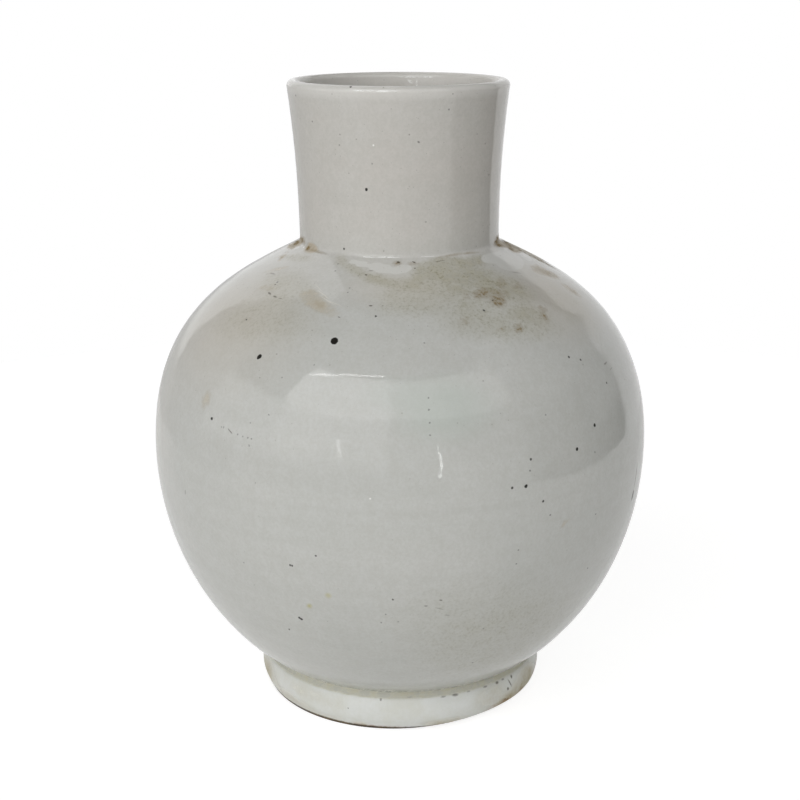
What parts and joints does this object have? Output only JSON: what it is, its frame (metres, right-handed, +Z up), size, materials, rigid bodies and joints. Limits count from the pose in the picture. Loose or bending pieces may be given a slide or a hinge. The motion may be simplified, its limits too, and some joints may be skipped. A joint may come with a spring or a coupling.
{
  "type": "porcelain pot",
  "caption": "Globular glazed porcelain pot with a tall wide flared neck, round lip and low foot ring; stands on a table and holds water, stems or stores.",
  "frame": {"origin": "centre of the foot ring's resting face", "axes": "+Z up along the pot's axis; -Y is the side that faces the camera in the picture, +X is to its right"},
  "size_m": [0.2646, 0.2646, 0.33],
  "materials": {
    "glaze": "clear glossy glaze over grey-white porcelain, with iron spots, pinholes and old dirt",
    "foot_glaze": "thinner, whiter glaze on the foot, wiped from the brown resting edge",
    "slip": "smoothed porcelain slip under a thin inner glaze"
  },
  "bodies": {
    "root": {"foot_ring": "foot_glaze", "lower_body": "glaze", "upper_body": "glaze", "neck": "glaze", "belly_seam_band": "slip", "neck_seam_band": "slip"}
  },
  "joints": []
}
